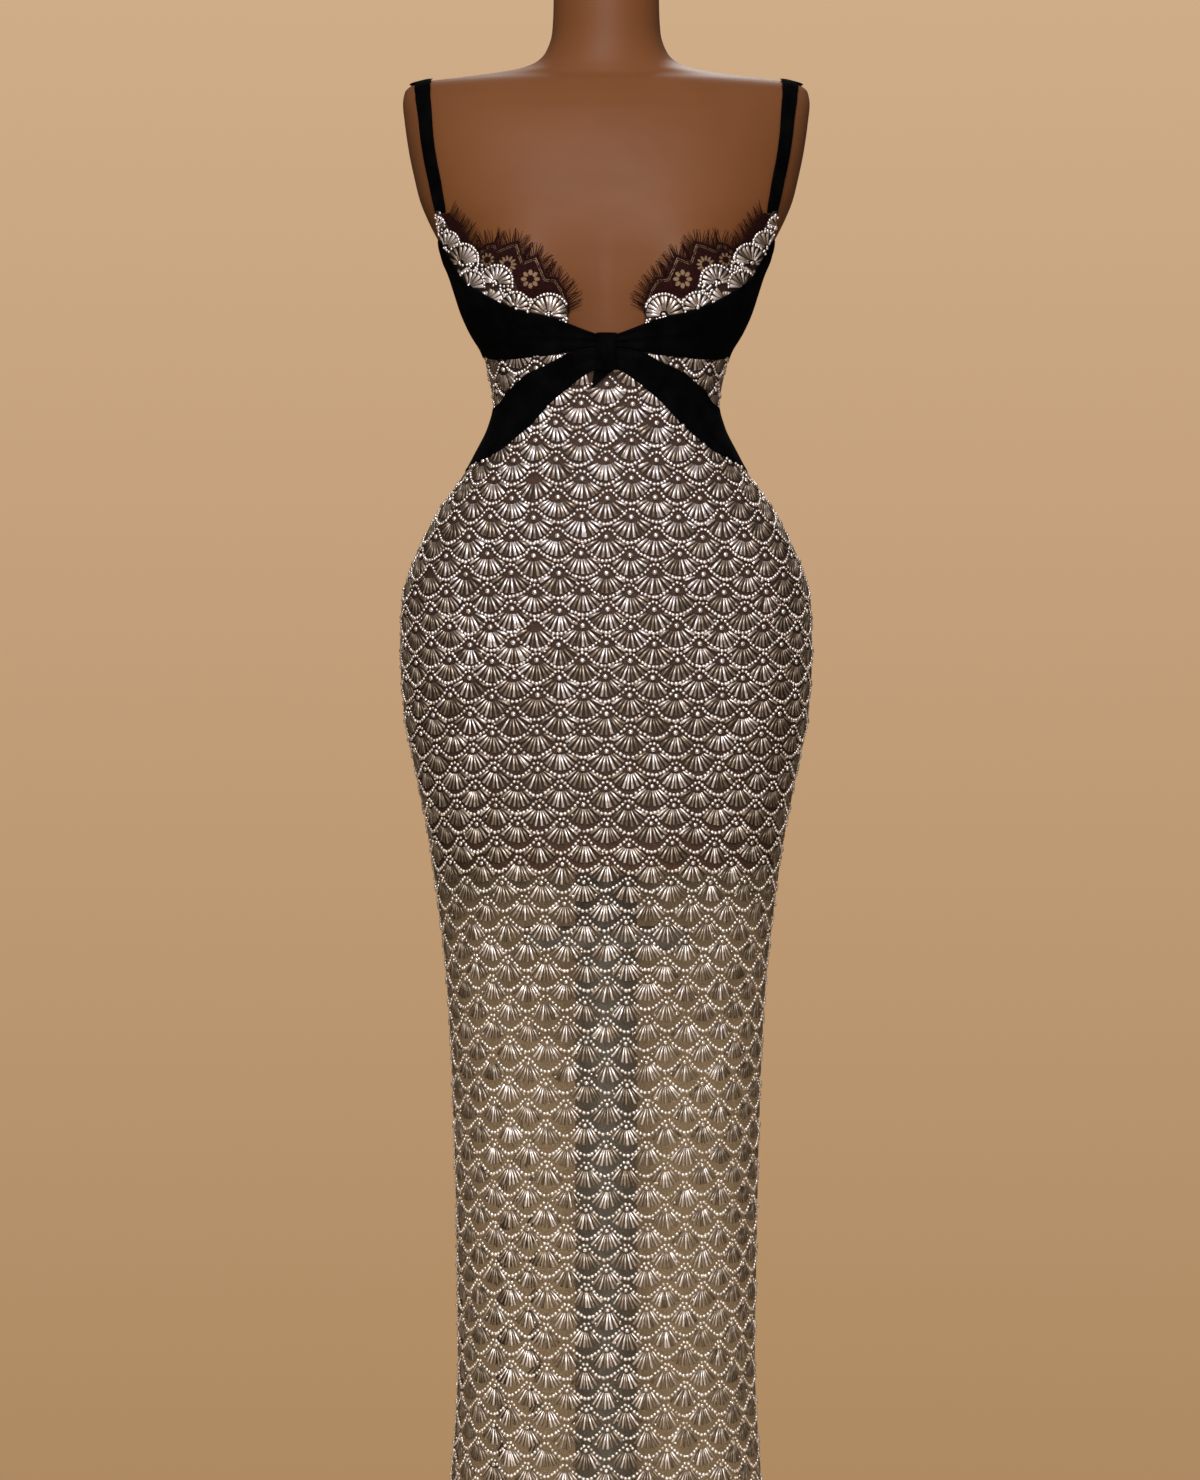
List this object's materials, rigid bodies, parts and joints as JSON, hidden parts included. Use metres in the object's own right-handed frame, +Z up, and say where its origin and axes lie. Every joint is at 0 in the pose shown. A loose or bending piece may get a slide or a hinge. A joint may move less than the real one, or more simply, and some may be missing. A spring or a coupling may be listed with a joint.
{
  "type": "evening gown on dress form",
  "caption": "Floor-length beaded evening gown with black velvet tie bodice and lace trim, worn by a limbless dress form on a round-based stand.",
  "frame": {"origin": "on the floor, at the centre of the underside of the stand's base", "axes": "+Z up along the stand's column, -Y out of the front of the gown, +X to the right as seen from the front"},
  "size_m": [0.3678, 0.2443, 1.53],
  "materials": {
    "black_velvet": "deep black cotton velvet",
    "black_lace": "black eyelash lace with a wine cast",
    "beaded_net": "taupe tulle under clear silver-taupe bugle beads",
    "zip_tape": "matt woven tape with a nylon coil",
    "form_skin": "brown satin",
    "stand_metal": "dark grey olive",
    "zip_metal": "bright nickel"
  },
  "bodies": {
    "gown_on_form": {"cup_left": "beaded_net", "cup_right": "beaded_net", "form_torso": "form_skin", "lace_left": "black_lace", "lace_right": "black_lace", "lashes_left": "black_lace", "lashes_right": "black_lace", "net_back_left": "beaded_net", "net_back_right": "beaded_net", "net_front": "beaded_net", "stand_base": "stand_metal", "stand_bracket": "stand_metal", "stand_column": "stand_metal", "stand_neck": "stand_metal", "strap_left": "black_velvet", "strap_right": "black_velvet", "tie_knot": "black_velvet", "tie_knot_end": "black_velvet", "velvet_band_left": "black_velvet", "velvet_band_right": "black_velvet", "velvet_tail_left": "black_velvet", "velvet_tail_right": "black_velvet", "velvet_wing_left": "black_velvet", "velvet_wing_right": "black_velvet", "zip_slider": "zip_metal", "zip_strip": "zip_tape"},
    "pull_tab": {"zip_pull_tab": "zip_metal"}
  },
  "joints": [
    {"name": "pull_tab_swing", "type": "hinge", "parent": "gown_on_form", "child": "pull_tab", "pos_m": [0, 0.10901, 1.249], "axis": [1, 0, 0], "range_deg": [0, 170]}
  ]
}
